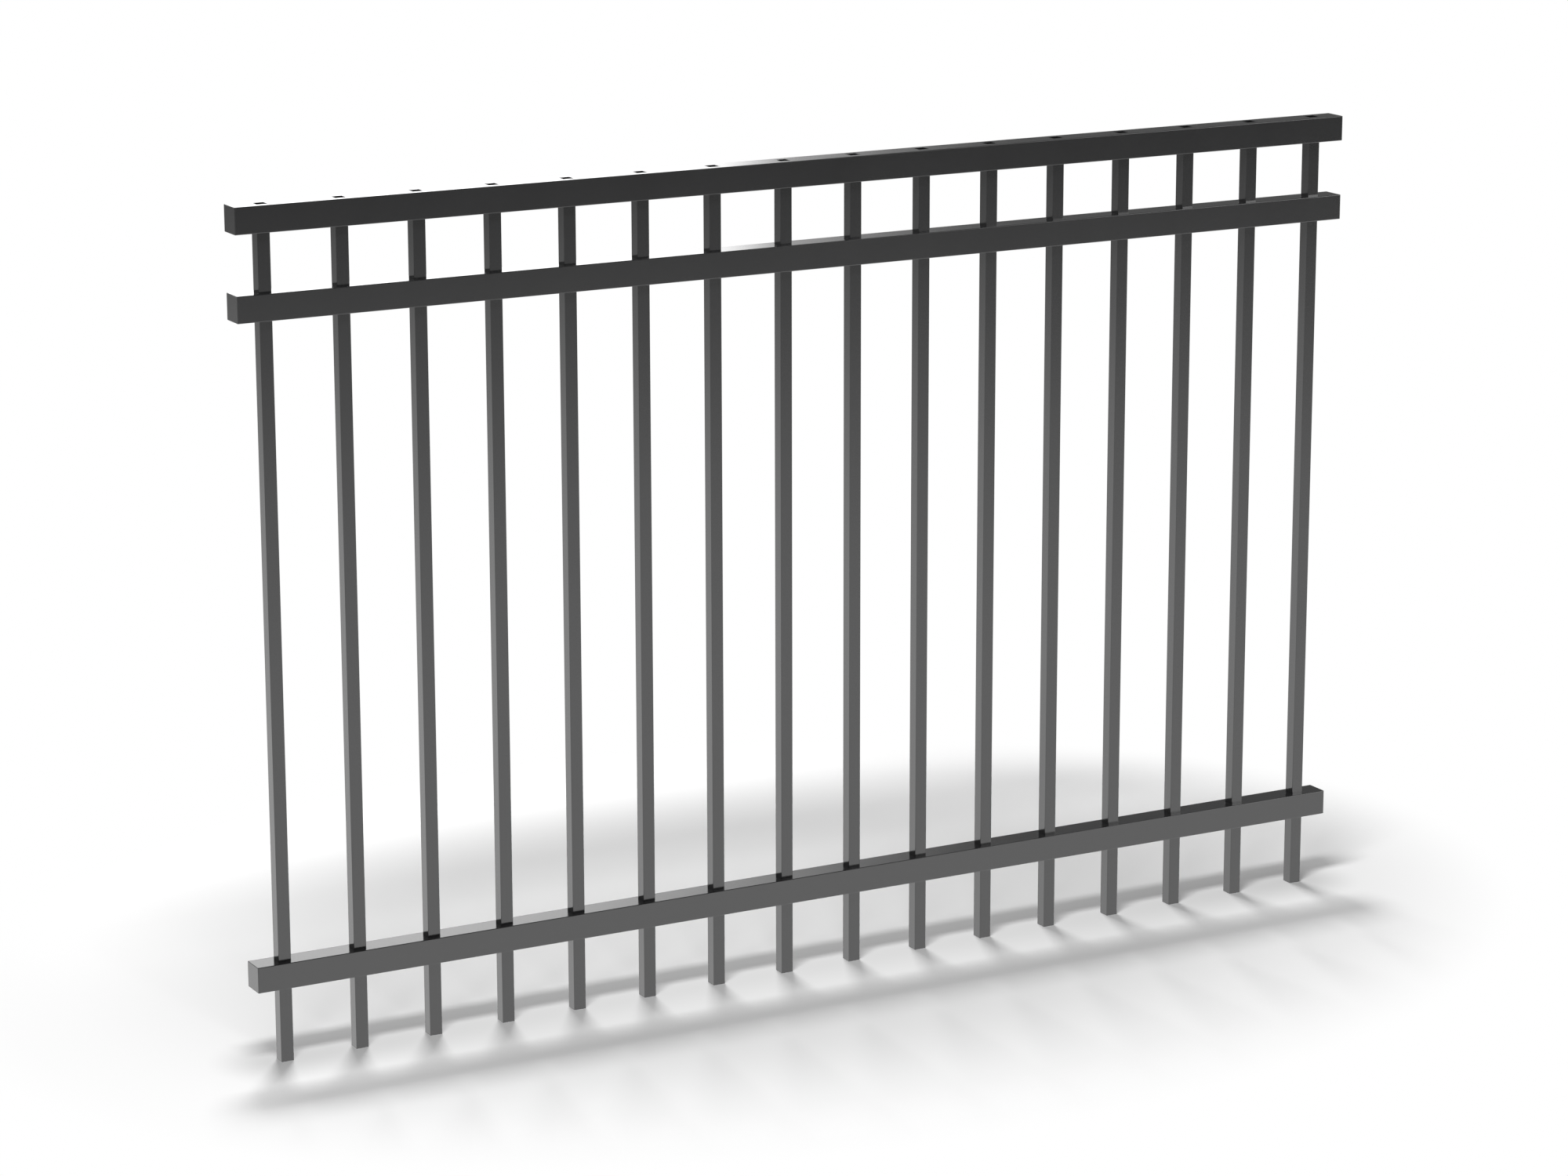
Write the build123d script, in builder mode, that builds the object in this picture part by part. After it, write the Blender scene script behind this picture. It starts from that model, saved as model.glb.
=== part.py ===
"""Flat-topped metal fence panel: square pickets threaded through three hollow rails.

Millimetres, +Z up. X runs along the panel and Y through it.
The origin is the centre of the bottom rail's left end face, where the panel meets its post.
"""

import os
from build123d import *

# Overall size: the length includes the end caps, the height runs from picket feet to flat top.
panel_length = 1828.8
panel_height = 1231.9

# Pickets: square extruded tube, open at both ends.
picket_side = 19.05
picket_wall = 1.5
picket_corner = 0.8
picket_gap = 96.8375

# Rails: one box extrusion, used three times.
rail_depth = 38.1
rail_height = 38.1
rail_wall = 2.0
rail_corner = 1.0

# Heights of the rails: the feet below the bottom rail, and the band below the top rail.
foot_length = 111.125
top_band = 84.1375

# Punched holes: play on each side of a picket, and rail end to the middle of the nearest picket.
hole_clearance = 0.25
least_end_margin = 40.0

# End caps: a flange as large as the rail, and a hollow plug that slides into it.
cap_flange = 2.0
cap_edge = 0.5
cap_plug_depth = 14.0
cap_plug_wall = 1.6
cap_clearance = 0.2

# Places worked out from the sizes above.
picket_pitch = picket_side + picket_gap
picket_count = int((panel_length - 2 * least_end_margin) // picket_pitch) + 1
first_picket_x = (panel_length - (picket_count - 1) * picket_pitch) / 2
picket_bore = picket_side - 2 * picket_wall
hole_side = picket_side + 2 * hole_clearance
foot_z = -(rail_height / 2 + foot_length)
top_rail_z = foot_z + panel_height - rail_height / 2
rail_centers = {
    "bottom_rail": 0.0,
    "upper_rail": top_rail_z - rail_height - top_band,
    "top_rail": top_rail_z,
}
rail_bore_depth = rail_depth - 2 * rail_wall
rail_bore_height = rail_height - 2 * rail_wall
plug_depth = rail_bore_depth - 2 * cap_clearance
plug_height = rail_bore_height - 2 * cap_clearance


def make_rail(center_z):
    """Box tube between its two caps, with a square hole for each picket through both walls."""
    tube_start = Plane(origin=(cap_flange, 0, center_z), x_dir=(0, 1, 0), z_dir=(1, 0, 0))
    punch_plane = Plane(origin=(first_picket_x, 0, center_z))
    with BuildPart() as rail:
        with BuildSketch(tube_start):
            RectangleRounded(rail_depth, rail_height, rail_corner)
            Rectangle(rail_bore_depth, rail_bore_height, mode=Mode.SUBTRACT)
        extrude(amount=panel_length - 2 * cap_flange)
        with BuildSketch(punch_plane):
            with Locations([(number * picket_pitch, 0) for number in range(picket_count)]):
                Rectangle(hole_side, hole_side)
        extrude(amount=rail_height, both=True, mode=Mode.SUBTRACT)
    return rail.part


def make_picket(center_x):
    """Square tube from the feet to the top rail's upper face, where its open end sits flush."""
    with BuildPart() as picket:
        with BuildSketch(Plane(origin=(center_x, 0, foot_z))):
            RectangleRounded(picket_side, picket_side, picket_corner)
            Rectangle(picket_bore, picket_bore, mode=Mode.SUBTRACT)
        extrude(amount=panel_height)
    return picket.part


def make_cap(end_x, inward, center_z):
    """Moulded cap: its flange closes the rail's end and its plug grips the bore."""
    outer_face = Plane(origin=(end_x, 0, center_z), x_dir=(0, inward, 0), z_dir=(inward, 0, 0))
    with BuildPart() as cap:
        with BuildSketch(outer_face):
            RectangleRounded(rail_depth, rail_height, rail_corner)
        extrude(amount=cap_flange)
        outer_rim = cap.faces().sort_by(Axis.X)[0 if inward > 0 else -1].edges()
        chamfer(outer_rim, length=cap_edge)
        with BuildSketch(outer_face.offset(cap_flange)):
            Rectangle(plug_depth, plug_height)
            Rectangle(plug_depth - 2 * cap_plug_wall, plug_height - 2 * cap_plug_wall, mode=Mode.SUBTRACT)
        extrude(amount=cap_plug_depth)
    return cap.part


def save(solid, name):
    """Label one finished piece and write it under the same name."""
    solid.label = name
    export_step(solid, f"parts/{name}.step")


os.makedirs("parts", exist_ok=True)

for rail_name, rail_z in rail_centers.items():
    save(make_rail(rail_z), rail_name)
    save(make_cap(0.0, 1, rail_z), f"{rail_name}_left_cap")
    save(make_cap(panel_length, -1, rail_z), f"{rail_name}_right_cap")

for number in range(picket_count):
    save(make_picket(first_picket_x + number * picket_pitch), f"picket_{number + 1:02d}")
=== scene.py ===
"""Looks of the fence panel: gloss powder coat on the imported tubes, moulded end caps and a pale studio."""

import math

import bpy
from mathutils import Euler, Matrix, Quaternion, Vector


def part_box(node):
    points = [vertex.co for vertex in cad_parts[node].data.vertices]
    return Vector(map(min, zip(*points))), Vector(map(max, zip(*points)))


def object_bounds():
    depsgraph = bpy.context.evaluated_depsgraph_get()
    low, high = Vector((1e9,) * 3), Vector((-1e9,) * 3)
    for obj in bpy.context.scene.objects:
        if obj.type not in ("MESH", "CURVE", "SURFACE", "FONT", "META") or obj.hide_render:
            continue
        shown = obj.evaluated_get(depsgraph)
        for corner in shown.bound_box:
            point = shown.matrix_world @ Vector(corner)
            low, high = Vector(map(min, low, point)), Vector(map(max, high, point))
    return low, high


bl_info = {
    "name": "Fence Panel Looks",
    "version": (1, 0, 0),
    "blender": (4, 5, 0),
    "location": "3D View > Sidebar > Fence Panel",
    "description": "Finishes the packed fence panel and sets it in a pale studio",
    "category": "Object",
}

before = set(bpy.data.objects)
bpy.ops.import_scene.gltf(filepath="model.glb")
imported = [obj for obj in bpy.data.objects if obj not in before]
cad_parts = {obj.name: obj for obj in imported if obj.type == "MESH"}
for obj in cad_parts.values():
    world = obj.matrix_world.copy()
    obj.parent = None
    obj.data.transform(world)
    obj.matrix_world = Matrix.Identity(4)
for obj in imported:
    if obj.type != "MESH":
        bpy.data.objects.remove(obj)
cad_low, cad_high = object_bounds()

RAILS = ("top_rail", "upper_rail", "bottom_rail")
PICKETS = tuple(sorted(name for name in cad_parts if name.startswith("picket_")))
END_CAPS = tuple(sorted(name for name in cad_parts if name.endswith("_cap")))

MM = 0.001
WHITE = (1.0, 1.0, 1.0, 1.0)
# The camera's film is taken as 36 mm wide for the photograph's 2000 by 1500 pixels.
FILM_WIDTH = 36.0
# Full angle of a softbox's beam.
BEAM_ANGLE = math.radians(100)
# Cured polyester and nylon have an index near 1.5, and 1.7 matches the stronger mirror in the photograph.
GLOSS_INDEX = 1.7


def to_linear(hex_color):
    """Linear red, green, blue and alpha of one sRGB hex colour."""
    digits = hex_color.lstrip("#")
    channels = [int(digits[start:start + 2], 16) / 255 for start in (0, 2, 4)]
    linear = [c / 12.92 if c <= 0.04045 else ((c + 0.055) / 1.055) ** 2.4 for c in channels]
    return (*linear, 1.0)


def add_node(tree, kind, links=None, values=None, **settings):
    """Add one node, set its properties and socket values, and link its named inputs."""
    node = tree.nodes.new(kind)
    for name, value in settings.items():
        setattr(node, name, value)
    for socket, value in (values or {}).items():
        node.inputs[socket].default_value = value
    for socket, source in (links or {}).items():
        tree.links.new(source, node.inputs[socket])
    return node


def new_material(name):
    """One new material, with its node tree and its main shader."""
    material = bpy.data.materials.new(name)
    material.use_nodes = True
    tree = material.node_tree
    return material, tree, tree.nodes["Principled BSDF"]


def add_skin(shader, roughness):
    """Lay a clear mirroring skin of this roughness over a finish."""
    shader.inputs["IOR"].default_value = GLOSS_INDEX
    shader.inputs["Coat Weight"].default_value = 1.0
    shader.inputs["Coat Roughness"].default_value = roughness
    shader.inputs["Coat IOR"].default_value = GLOSS_INDEX


class FinishSettings(bpy.types.PropertyGroup):
    """Colours and surface sizes of the panel's two finishes."""

    coat_color: bpy.props.FloatVectorProperty(
        name="Coat colour", description="Colour of the powder coat under its gloss",
        subtype="COLOR", size=4, min=0.0, max=1.0, default=to_linear("#0F0F10"))
    thin_coat_color: bpy.props.FloatVectorProperty(
        name="Thin coat colour", description="Colour where the powder lies a little thinner",
        subtype="COLOR", size=4, min=0.0, max=1.0, default=to_linear("#161617"))
    coat_skin_roughness: bpy.props.FloatProperty(
        name="Coat skin roughness", description="Blur of the mirror in the powder coat's skin",
        subtype="FACTOR", min=0.0, max=1.0, default=0.06)
    coat_roughness: bpy.props.FloatVectorProperty(
        name="Coat roughness", description="Least and most blur of the gloss under the coat's skin",
        size=2, min=0.0, max=1.0, default=(0.16, 0.24))
    cloud_width: bpy.props.FloatProperty(
        name="Cloud width", description="Width of the patches where the powder lies thinner",
        unit="LENGTH", min=1.0 * MM, default=60.0 * MM)
    peel_width: bpy.props.FloatProperty(
        name="Orange peel width", description="Distance between the coat's ripples",
        unit="LENGTH", min=0.1 * MM, default=2.4 * MM)
    peel_height: bpy.props.FloatProperty(
        name="Orange peel height", description="Height of the coat's ripples",
        unit="LENGTH", min=0.0, default=0.004 * MM)
    saw_width: bpy.props.FloatProperty(
        name="Saw mark width", description="Distance between the saw marks on the pickets' cut ends",
        unit="LENGTH", min=0.05 * MM, default=0.3 * MM)
    saw_height: bpy.props.FloatProperty(
        name="Saw mark height", description="Height of the saw marks on the pickets' cut ends",
        unit="LENGTH", min=0.0, default=0.03 * MM)
    cap_color: bpy.props.FloatVectorProperty(
        name="Cap colour", description="Colour of the moulded end caps",
        subtype="COLOR", size=4, min=0.0, max=1.0, default=to_linear("#121213"))
    cap_skin_roughness: bpy.props.FloatProperty(
        name="Cap skin roughness", description="Blur of the mirror in the caps' skin",
        subtype="FACTOR", min=0.0, max=1.0, default=0.12)
    cap_roughness: bpy.props.FloatVectorProperty(
        name="Cap roughness", description="Least and most blur of the gloss under the caps' skin",
        size=2, min=0.0, max=1.0, default=(0.22, 0.32))
    grain_width: bpy.props.FloatProperty(
        name="Cap grain width", description="Width of the mould's grain on the caps",
        unit="LENGTH", min=0.05 * MM, default=0.8 * MM)
    grain_height: bpy.props.FloatProperty(
        name="Cap grain height", description="Height of the mould's grain on the caps",
        unit="LENGTH", min=0.0, default=0.005 * MM)


class StageSettings(bpy.types.PropertyGroup):
    """Camera, floor and light of the studio. A heading is the turn from +Y towards +X."""

    camera_place: bpy.props.FloatVectorProperty(
        name="Camera place", description="Where the lens stands, in the panel's frame",
        subtype="TRANSLATION", default=(-2.25799, -5.71255, 2.07184))
    camera_heading: bpy.props.FloatProperty(
        name="Camera heading", description="Turn of the view from +Y towards the panel's right end",
        subtype="ANGLE", default=0.499217)
    camera_tilt: bpy.props.FloatProperty(
        name="Camera tilt", description="Tilt of the view below the horizon",
        subtype="ANGLE", default=0.242134)
    camera_roll: bpy.props.FloatProperty(
        name="Camera roll", description="Small turn of the view about its own axis",
        subtype="ANGLE", default=-0.001825)
    focal_length: bpy.props.FloatProperty(
        name="Focal length", description="Focal length for a film 36 mm wide",
        unit="CAMERA", min=1.0, default=104.0735)
    floor_size: bpy.props.FloatProperty(
        name="Floor size", description="Side of the square studio floor",
        unit="LENGTH", min=1.0, default=120.0)
    floor_color: bpy.props.FloatVectorProperty(
        name="Floor colour", description="Colour of the pale studio floor",
        subtype="COLOR", size=4, min=0.0, max=1.0, default=to_linear("#F0F0F0"))
    # Painted shade: a grey halo on the floor under the panel stands in for its soft shadow.
    painted_shade_color: bpy.props.FloatVectorProperty(
        name="Halo colour", description="Colour of the floor's soft grey halo under the panel",
        subtype="COLOR", size=4, min=0.0, max=1.0, default=to_linear("#CFCFCF"))
    painted_shade_reach: bpy.props.FloatVectorProperty(
        name="Halo reach", description="Half length and half depth of the halo's oval",
        subtype="XYZ_LENGTH", size=2, default=(1.18, 0.90))
    painted_shade_shift: bpy.props.FloatVectorProperty(
        name="Halo shift", description="From the panel's middle to the middle of the halo",
        subtype="XYZ_LENGTH", size=2, default=(0.0, 0.22))
    painted_shade_fade: bpy.props.FloatVectorProperty(
        name="Halo fade", description="Shares of the halo's oval between which the halo fades out",
        size=2, min=0.0, default=(0.5, 1.0))
    white_fade: bpy.props.FloatVectorProperty(
        name="White fade", description="Shares of that oval between which lit paper turns to plain white",
        size=2, min=0.0, default=(0.85, 1.1))
    # Painted shade: the floor is darker right at the row of picket feet.
    painted_contact_shade_color: bpy.props.FloatVectorProperty(
        name="Contact colour", description="Colour of the floor right at the row of picket feet",
        subtype="COLOR", size=4, min=0.0, max=1.0, default=to_linear("#C4C4C4"))
    painted_contact_shade_reach: bpy.props.FloatProperty(
        name="Contact reach", description="Distance from the row of feet at which its shade is gone",
        unit="LENGTH", min=1.0 * MM, default=0.11)
    # Painted light: for the gloss the floor glows as a pale pool that dims with distance.
    painted_pool_level: bpy.props.FloatProperty(
        name="Pool level", description="How light the floor beside the panel looks in the gloss",
        min=0.0, default=0.83)
    painted_pool_reach: bpy.props.FloatVectorProperty(
        name="Pool reach", description="Half length and half depth of the oval where it is half as light",
        subtype="XYZ_LENGTH", size=2, default=(9.2, 4.95))
    painted_pool_steepness: bpy.props.FloatProperty(
        name="Pool steepness", description="How fast the pool dims about its oval",
        min=1.0, default=3.0)
    fill_level: bpy.props.FloatProperty(
        name="Fill level", description="Even room light on every side",
        min=0.0, default=0.01)
    room_level: bpy.props.FloatProperty(
        name="Room level", description="How light the unlit studio looks in the gloss",
        min=0.0, default=0.11)
    wall_level: bpy.props.FloatProperty(
        name="Wall level", description="Brightness of the graded light wall behind the panel",
        min=0.0, default=1.0)
    wall_start: bpy.props.FloatProperty(
        name="Wall start", description="Heading of the light wall's left edge",
        subtype="ANGLE", default=math.radians(-12.0))
    wall_end: bpy.props.FloatProperty(
        name="Wall end", description="Heading of the light wall's right edge",
        subtype="ANGLE", default=math.radians(27.8))
    wall_fade: bpy.props.FloatProperty(
        name="Wall fade", description="Half the angle over which the light wall's edges fade",
        subtype="ANGLE", default=math.radians(4.0))
    strip_level: bpy.props.FloatProperty(
        name="Strip level", description="Brightness that the low strip light adds at the wall's foot",
        min=0.0, default=1.1)
    strip_end: bpy.props.FloatProperty(
        name="Strip end", description="Heading of the low strip light's right edge",
        subtype="ANGLE", default=math.radians(28.15))
    strip_top: bpy.props.FloatProperty(
        name="Strip top", description="Height of the low strip light above the horizon",
        subtype="ANGLE", default=math.radians(13.0))
    strip_fade: bpy.props.FloatProperty(
        name="Strip fade", description="Half the angle over which the strip light's edges fade",
        subtype="ANGLE", default=math.radians(0.6))
    corner_level: bpy.props.FloatProperty(
        name="Corner level", description="Brightness of the softbox in the corner at the front right",
        min=0.0, default=2.0)
    corner_start: bpy.props.FloatProperty(
        name="Corner start", description="Heading of the corner softbox's edge beside the panel's right end",
        subtype="ANGLE", default=math.radians(95.0))
    corner_end: bpy.props.FloatProperty(
        name="Corner end", description="Heading of the corner softbox's edge towards the camera",
        subtype="ANGLE", default=math.radians(147.0))
    corner_top: bpy.props.FloatProperty(
        name="Corner top", description="Height of the corner softbox above the horizon",
        subtype="ANGLE", default=math.radians(35.0))
    corner_fade: bpy.props.FloatProperty(
        name="Corner fade", description="Half the angle over which the corner softbox's edges fade",
        subtype="ANGLE", default=math.radians(2.5))


def saw_marks(tree, settings, place, normal):
    """Marks that the saw left across a tube's cut ends, which break up the mirror there.

    The ends face up and down, and the tube's sides stay as they are.
    """
    facing = add_node(tree, "ShaderNodeNewGeometry").outputs["True Normal"]
    rise = add_node(tree, "ShaderNodeSeparateXYZ", {"Vector": facing}).outputs["Z"]
    end = add_node(tree, "ShaderNodeMath", {0: rise}, operation="ABSOLUTE").outputs["Value"]
    marks = add_node(tree, "ShaderNodeTexNoise", {"Vector": place},
                     {"Scale": 1 / settings.saw_width, "Detail": 1.0}).outputs["Fac"]
    height = add_node(tree, "ShaderNodeMath", {0: marks, 1: end}, operation="MULTIPLY").outputs["Value"]
    bump = add_node(tree, "ShaderNodeBump", {"Height": height, "Normal": normal},
                    {"Distance": settings.saw_height})
    return bump.outputs["Normal"]


def powder_coat(settings, name, sawn_ends):
    """Gloss powder coat on aluminium: a cured polyester skin, near black, with a faint orange peel.

    The skin gives a clear mirror of the studio at low angles and a dark face when seen square on.
    """
    material, tree, shader = new_material(name)
    add_skin(shader, settings.coat_skin_roughness)
    place = add_node(tree, "ShaderNodeTexCoord").outputs["Object"]
    # Sprayed powder never lies quite even, so colour and gloss drift over some centimetres.
    cloud = add_node(tree, "ShaderNodeTexNoise", {"Vector": place},
                     {"Scale": 1 / settings.cloud_width, "Detail": 3.0}).outputs["Fac"]
    color = add_node(tree, "ShaderNodeMix", {"Factor": cloud},
                     {"A": settings.coat_color, "B": settings.thin_coat_color}, data_type="RGBA")
    tree.links.new(color.outputs["Result"], shader.inputs["Base Color"])
    finest, dullest = settings.coat_roughness
    gloss = add_node(tree, "ShaderNodeMapRange", {"Value": cloud}, {"To Min": finest, "To Max": dullest})
    tree.links.new(gloss.outputs["Result"], shader.inputs["Roughness"])
    # The melted powder sets with low ripples, which stir the mirror images a little.
    peel = add_node(tree, "ShaderNodeTexNoise", {"Vector": place},
                    {"Scale": 1 / settings.peel_width, "Detail": 1.0}).outputs["Fac"]
    normal = add_node(tree, "ShaderNodeBump", {"Height": peel},
                      {"Distance": settings.peel_height}).outputs["Normal"]
    if sawn_ends:
        normal = saw_marks(tree, settings, place, normal)
    tree.links.new(normal, shader.inputs["Normal"])
    tree.links.new(normal, shader.inputs["Coat Normal"])
    return material


def cap_nylon(settings):
    """Moulded nylon of the end caps: near black, with a spark-eroded grain that dulls its mirror a little.

    The real grain is about 0.1 mm wide, which is too fine to show, so it is drawn coarser.
    """
    material, tree, shader = new_material("moulded_nylon")
    shader.inputs["Base Color"].default_value = settings.cap_color
    add_skin(shader, settings.cap_skin_roughness)
    place = add_node(tree, "ShaderNodeTexCoord").outputs["Object"]
    grain = add_node(tree, "ShaderNodeTexNoise", {"Vector": place},
                     {"Scale": 1 / settings.grain_width, "Detail": 2.0}).outputs["Fac"]
    finest, dullest = settings.cap_roughness
    gloss = add_node(tree, "ShaderNodeMapRange", {"Value": grain}, {"To Min": finest, "To Max": dullest})
    tree.links.new(gloss.outputs["Result"], shader.inputs["Roughness"])
    ripple = add_node(tree, "ShaderNodeBump", {"Height": grain}, {"Distance": settings.grain_height})
    tree.links.new(ripple.outputs["Normal"], shader.inputs["Normal"])
    return material


def dress(names, material):
    """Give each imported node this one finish."""
    for name in names:
        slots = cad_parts[name].data.materials
        slots.clear()
        slots.append(material)


def seen_directly(tree, path):
    """1 for what the camera sees, also through a clear thing, and 0 for light that is passed on."""
    seen = add_node(tree, "ShaderNodeMath", {0: path["Is Camera Ray"], 1: path["Is Transmission Ray"]},
                    operation="MAXIMUM")
    return seen.outputs["Value"]


def soft_step(tree, value, start, end):
    """0 where the value is at the start and 1 where it is at the end, with a soft change between."""
    ramp = add_node(tree, "ShaderNodeMapRange", {"Value": value}, {"From Min": start, "From Max": end},
                    interpolation_type="SMOOTHSTEP")
    return ramp.outputs["Result"]


def left_of_heading(tree, look, heading, fade):
    """1 to the left of an upright edge at this heading and 0 to its right, with a soft change between."""
    leftward = (-math.cos(heading), math.sin(heading), 0.0)
    side = add_node(tree, "ShaderNodeVectorMath", {0: look}, {1: leftward}, operation="DOT_PRODUCT")
    return soft_step(tree, side.outputs["Value"], -math.sin(fade), math.sin(fade))


def between_headings(tree, look, start, end, fade):
    """1 between two headings and 0 outside them, with soft changes."""
    before_end = left_of_heading(tree, look, end, fade)
    before_start = left_of_heading(tree, look, start, fade)
    past_start = add_node(tree, "ShaderNodeMath", {1: before_start}, {0: 1.0}, operation="SUBTRACT")
    both = add_node(tree, "ShaderNodeMath", {0: past_start.outputs["Value"], 1: before_end},
                    operation="MULTIPLY")
    return both.outputs["Value"]


def below_height(tree, look, height, fade):
    """1 below this angle above the horizon and 0 over it, with a soft change between."""
    rise = add_node(tree, "ShaderNodeSeparateXYZ", {"Vector": look}).outputs["Z"]
    return soft_step(tree, rise, math.sin(height + fade), math.sin(height - fade))


def oval_reach(tree, place, center, half_size):
    """How far out a place on the floor lies, where 1 is an oval of this half length and half depth."""
    half_length, half_depth = half_size
    apart = add_node(tree, "ShaderNodeVectorMath", {0: place}, {1: center},
                     operation="SUBTRACT").outputs["Vector"]
    shares = add_node(tree, "ShaderNodeVectorMath", {0: apart},
                      {1: (1 / half_length, 1 / half_depth, 0.0)}, operation="MULTIPLY")
    reach = add_node(tree, "ShaderNodeVectorMath", {0: shares.outputs["Vector"]}, operation="LENGTH")
    return reach.outputs["Value"]


def row_distance(tree, place, middle, half_length):
    """Distance on the floor from the row of feet, which runs half_length either way from the middle."""
    apart = add_node(tree, "ShaderNodeVectorMath", {0: place}, {1: middle}, operation="SUBTRACT")
    away = add_node(tree, "ShaderNodeVectorMath", {0: apart.outputs["Vector"]}, operation="ABSOLUTE")
    past_row = add_node(tree, "ShaderNodeVectorMath", {0: away.outputs["Vector"]},
                        {1: (half_length, 0.0, 0.0)}, operation="SUBTRACT")
    outside = add_node(tree, "ShaderNodeVectorMath", {0: past_row.outputs["Vector"]},
                       {1: (0.0, 0.0, 0.0)}, operation="MAXIMUM")
    distance = add_node(tree, "ShaderNodeVectorMath", {0: outside.outputs["Vector"]}, operation="LENGTH")
    return distance.outputs["Value"]


def studio_world(settings):
    """Room light: a plain fill, white to the camera, and soft lights that only the gloss mirrors.

    Behind the panel stands a graded light wall with a strip light at its foot, and a softbox stands at its
    front right.
    """
    world = bpy.data.worlds.new("studio")
    world.use_nodes = True
    tree = world.node_tree
    path = add_node(tree, "ShaderNodeLightPath").outputs
    look = add_node(tree, "ShaderNodeTexCoord").outputs["Generated"]
    wall = between_headings(tree, look, settings.wall_start, settings.wall_end, settings.wall_fade)
    strip_span = between_headings(tree, look, settings.wall_start, settings.strip_end, settings.strip_fade)
    strip_low = below_height(tree, look, settings.strip_top, settings.strip_fade)
    strip = add_node(tree, "ShaderNodeMath", {0: strip_span, 1: strip_low},
                     operation="MULTIPLY").outputs["Value"]
    corner_span = between_headings(tree, look, settings.corner_start, settings.corner_end,
                                   settings.corner_fade)
    corner_low = below_height(tree, look, settings.corner_top, settings.corner_fade)
    corner = add_node(tree, "ShaderNodeMath", {0: corner_span, 1: corner_low},
                      operation="MULTIPLY").outputs["Value"]
    lights = ((wall, settings.wall_level), (strip, settings.strip_level), (corner, settings.corner_level))
    mirrored = add_node(tree, "ShaderNodeValue").outputs["Value"]
    mirrored.default_value = settings.room_level
    for shape, brightness in lights:
        mirrored = add_node(tree, "ShaderNodeMath", {0: shape, 2: mirrored}, {1: brightness},
                            operation="MULTIPLY_ADD").outputs["Value"]
    level = add_node(tree, "ShaderNodeMix", {"Factor": path["Is Glossy Ray"], "B": mirrored},
                     {"A": settings.fill_level}, data_type="FLOAT").outputs["Result"]
    shown = add_node(tree, "ShaderNodeMix", {"Factor": seen_directly(tree, path), "A": level},
                     {"B": 1.0}, data_type="FLOAT").outputs["Result"]
    background = tree.nodes["Background"]
    background.inputs["Color"].default_value = WHITE
    tree.links.new(shown, background.inputs["Strength"])
    bpy.context.scene.world = world


def floor_paper(settings, middle, row_half_length):
    """Matt white paper with a soft grey shade painted under the panel: it keeps the shadow and is plain white
    past it.

    The gloss sees the floor as a painted pool of light, a glow that dims with distance, without the shadow.
    """
    material, tree, shader = new_material("matt_white_paper")
    shader.inputs["Roughness"].default_value = 0.9
    shader.inputs["Specular IOR Level"].default_value = 0.0
    path = add_node(tree, "ShaderNodeLightPath").outputs
    place = add_node(tree, "ShaderNodeNewGeometry").outputs["Position"]
    painted_shade_middle = middle + Vector((*settings.painted_shade_shift, 0.0))
    reach = oval_reach(tree, place, painted_shade_middle, settings.painted_shade_reach)
    # The painted shade fades over the outer half of its oval, and near the rim lit paper gives way to plain
    # white.
    clear = soft_step(tree, reach, *settings.painted_shade_fade)
    far = soft_step(tree, reach, *settings.white_fade)
    paint = add_node(tree, "ShaderNodeMix", {"Factor": clear},
                     {"A": settings.painted_shade_color, "B": settings.floor_color}, data_type="RGBA")
    # Close to the feet the panel takes room light from the paper, so a soft shade is painted along their row.
    from_row = row_distance(tree, place, middle, row_half_length)
    past_shade = soft_step(tree, from_row, 0.0, settings.painted_contact_shade_reach)
    shaded = add_node(tree, "ShaderNodeMix", {"Factor": past_shade, "B": paint.outputs["Result"]},
                      {"A": settings.painted_contact_shade_color}, data_type="RGBA")
    tree.links.new(shaded.outputs["Result"], shader.inputs["Base Color"])
    direct = seen_directly(tree, path)
    white_part = add_node(tree, "ShaderNodeMath", {0: far, 1: direct}, operation="MULTIPLY").outputs["Value"]
    share = add_node(tree, "ShaderNodeMath", {0: white_part, 1: path["Is Glossy Ray"]},
                     operation="MAXIMUM").outputs["Value"]
    # The painted pool of light stays light near the panel, is half as light at its oval and dies away past
    # it.
    painted_pool_reach = oval_reach(tree, place, middle, settings.painted_pool_reach)
    falloff = add_node(tree, "ShaderNodeMath", {0: painted_pool_reach}, {1: settings.painted_pool_steepness},
                       operation="POWER").outputs["Value"]
    divisor = add_node(tree, "ShaderNodeMath", {0: falloff}, {1: 1.0}, operation="ADD").outputs["Value"]
    pool = add_node(tree, "ShaderNodeMath", {1: divisor}, {0: settings.painted_pool_level},
                    operation="DIVIDE").outputs["Value"]
    level = add_node(tree, "ShaderNodeMix", {"Factor": direct, "A": pool}, {"B": 1.0},
                     data_type="FLOAT").outputs["Result"]
    white = add_node(tree, "ShaderNodeEmission", {"Strength": level}, {"Color": WHITE}).outputs["Emission"]
    mixed = add_node(tree, "ShaderNodeMixShader", {0: share, 1: shader.outputs["BSDF"], 2: white})
    tree.links.new(mixed.outputs["Shader"], tree.nodes["Material Output"].inputs["Surface"])
    return material


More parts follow.
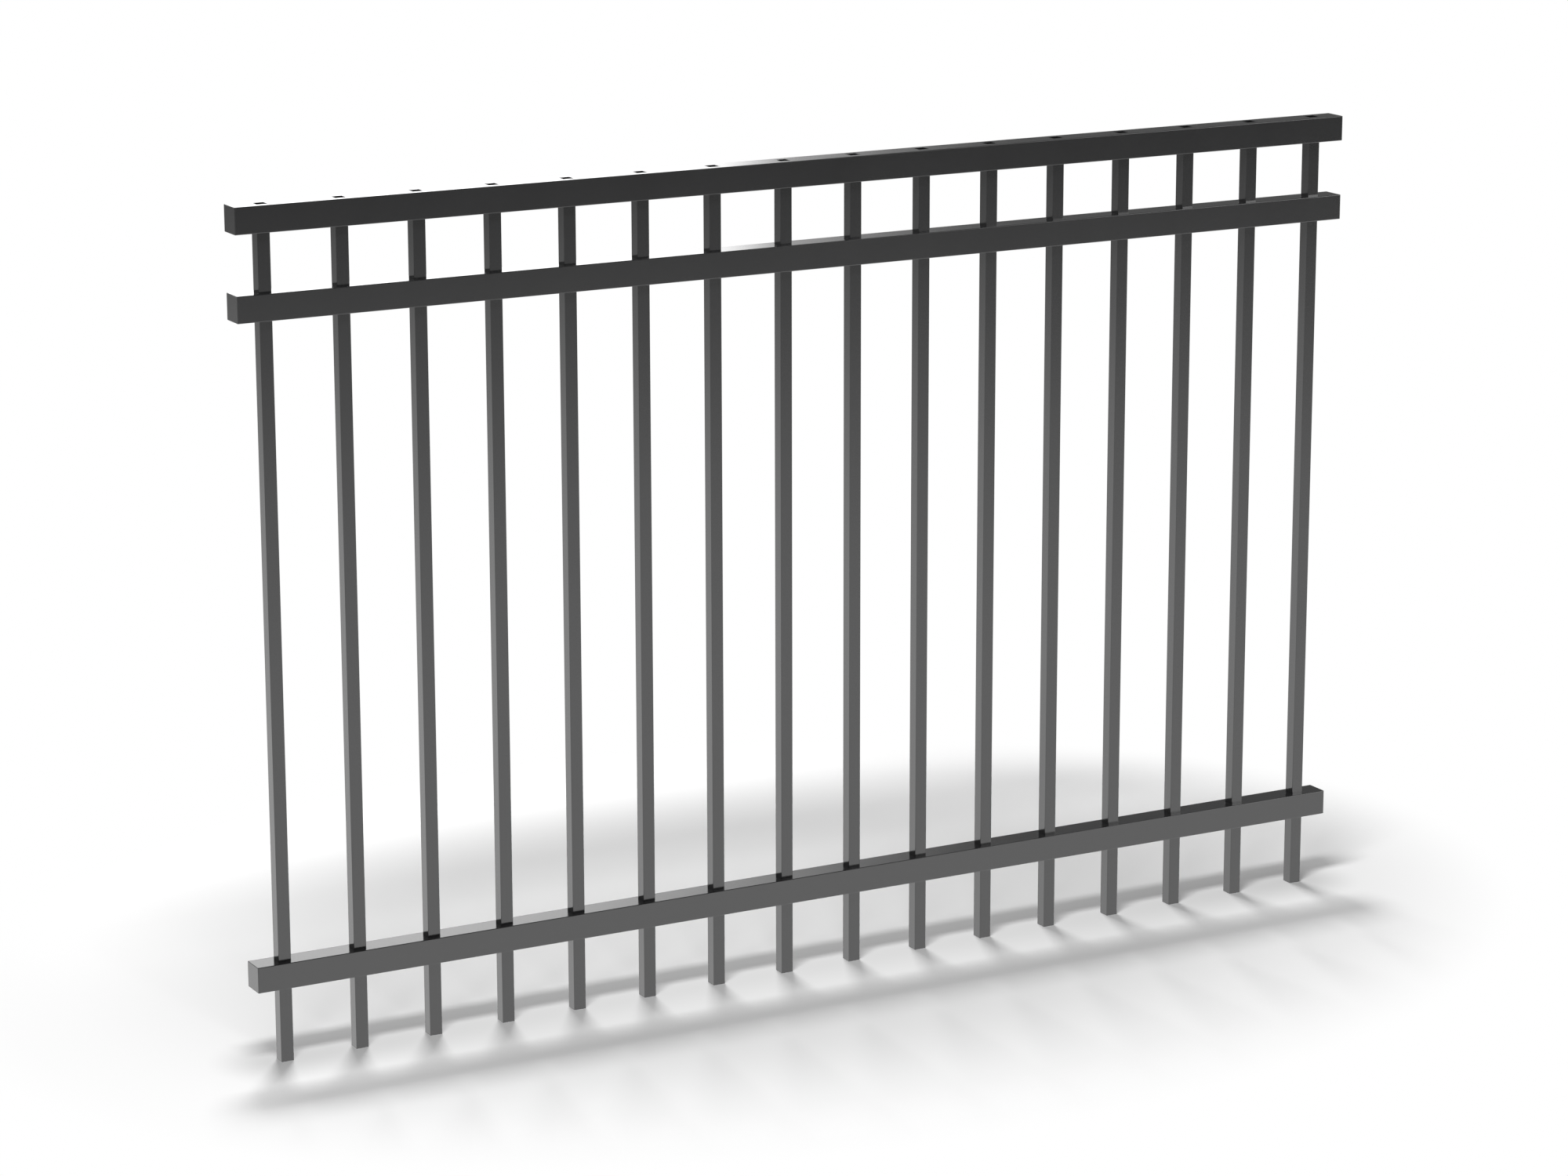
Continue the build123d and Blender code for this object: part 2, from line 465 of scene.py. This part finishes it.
def soft_lamp(name, place, aim, width, depth, watts):
    """Softbox aimed at a point on the floor, wide along the panel, with a grid that narrows its beam."""
    data = bpy.data.lights.new(name, "AREA")
    data.shape = "RECTANGLE"
    data.size = width
    data.size_y = depth
    data.spread = BEAM_ANGLE
    data.energy = watts
    lamp = bpy.data.objects.new(name, data)
    away = (Vector(place) - aim).normalized()
    up = away.cross(Vector((1.0, 0.0, 0.0))).normalized()
    lamp.location = place
    lamp.rotation_mode = "QUATERNION"
    lamp.rotation_quaternion = Matrix((up.cross(away), up, away)).transposed().to_quaternion()
    # The gloss mirrors the lights of the studio world in place of these lamps.
    lamp.visible_camera = False
    lamp.visible_glossy = False
    bpy.context.scene.collection.objects.link(lamp)


class FENCE_OT_coat_rails(bpy.types.Operator):
    """Give the three rails their powder coat"""

    bl_idname = "fence.coat_rails"
    bl_label = "Coat Rails"

    def execute(self, context):
        coat = powder_coat(context.scene.fence_finish, "gloss_powder_coat", sawn_ends=False)
        dress(RAILS, coat)
        return {"FINISHED"}


class FENCE_OT_coat_pickets(bpy.types.Operator):
    """Give every picket the same powder coat, with saw marks on its cut ends"""

    bl_idname = "fence.coat_pickets"
    bl_label = "Coat Pickets"

    def execute(self, context):
        coat = powder_coat(context.scene.fence_finish, "gloss_powder_coat_sawn_ends", sawn_ends=True)
        dress(PICKETS, coat)
        return {"FINISHED"}


class FENCE_OT_finish_caps(bpy.types.Operator):
    """Give the end caps their moulded nylon"""

    bl_idname = "fence.finish_caps"
    bl_label = "Finish End Caps"

    def execute(self, context):
        dress(END_CAPS, cap_nylon(context.scene.fence_finish))
        return {"FINISHED"}


class FENCE_OT_build_stage(bpy.types.Operator):
    """Lay the floor, hang the lamps and stand the camera"""

    bl_idname = "fence.build_stage"
    bl_label = "Build Stage"

    def execute(self, context):
        settings = context.scene.fence_stage
        floor_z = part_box(PICKETS[0])[0].z
        middle = Vector(((cad_low.x + cad_high.x) / 2, 0.0, floor_z))
        row_half_length = (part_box(PICKETS[-1])[1].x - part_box(PICKETS[0])[0].x) / 2
        self.lay_floor(context, settings, middle, row_half_length)
        left_end = Vector((cad_low.x, 0.0, floor_z))
        right_end = Vector((cad_high.x, 0.0, floor_z))
        # Each lamp stands by one end and aims at the other, so that its light is more even along the floor.
        soft_lamp("front_softbox", place=(-0.50, -1.57, 3.38), aim=right_end,
                  width=1.8, depth=0.6, watts=45.0)
        soft_lamp("back_softbox", place=(1.67, 3.02, 2.39), aim=left_end,
                  width=1.5, depth=0.85, watts=53.0)
        studio_world(settings)
        self.stand_camera(context, settings)
        context.scene.view_settings.view_transform = "Standard"
        return {"FINISHED"}

    def lay_floor(self, context, settings, middle, row_half_length):
        """Spread the paper under the picket feet."""
        bpy.ops.mesh.primitive_plane_add(size=settings.floor_size, location=(0.0, 0.0, middle.z))
        floor = context.object
        floor.name = "studio_floor"
        floor.data.materials.append(floor_paper(settings, middle, row_half_length))

    def stand_camera(self, context, settings):
        """Put the lens where the photograph was taken from."""
        data = bpy.data.cameras.new("photo_camera")
        data.sensor_fit = "HORIZONTAL"
        data.sensor_width = FILM_WIDTH
        data.lens = settings.focal_length
        camera = bpy.data.objects.new("photo_camera", data)
        camera.location = settings.camera_place
        level = Euler((math.pi / 2 - settings.camera_tilt, 0.0, -settings.camera_heading)).to_quaternion()
        camera.rotation_mode = "QUATERNION"
        camera.rotation_quaternion = level @ Quaternion((0.0, 0.0, 1.0), settings.camera_roll)
        context.scene.collection.objects.link(camera)
        context.scene.camera = camera


class FENCE_PT_looks(bpy.types.Panel):
    """Lists the panel's finishes and its studio"""

    bl_label = "Fence Panel"
    bl_idname = "FENCE_PT_looks"
    bl_space_type = "VIEW_3D"
    bl_region_type = "UI"
    bl_category = "Fence Panel"

    def draw(self, context):
        for group in (context.scene.fence_finish, context.scene.fence_stage):
            for name in group.__annotations__:
                self.layout.prop(group, name)
        for operator in OPERATORS:
            self.layout.operator(operator.bl_idname)


OPERATORS = (FENCE_OT_coat_rails, FENCE_OT_coat_pickets, FENCE_OT_finish_caps, FENCE_OT_build_stage)
CLASSES = (FinishSettings, StageSettings, *OPERATORS, FENCE_PT_looks)


def register():
    for cls in CLASSES:
        bpy.utils.register_class(cls)
    bpy.types.Scene.fence_finish = bpy.props.PointerProperty(type=FinishSettings)
    bpy.types.Scene.fence_stage = bpy.props.PointerProperty(type=StageSettings)


def unregister():
    del bpy.types.Scene.fence_stage
    del bpy.types.Scene.fence_finish
    for cls in reversed(CLASSES):
        bpy.utils.unregister_class(cls)


def main():
    register()
    bpy.ops.fence.coat_rails()
    bpy.ops.fence.coat_pickets()
    bpy.ops.fence.finish_caps()
    bpy.ops.fence.build_stage()


if __name__ == "__main__":
    main()
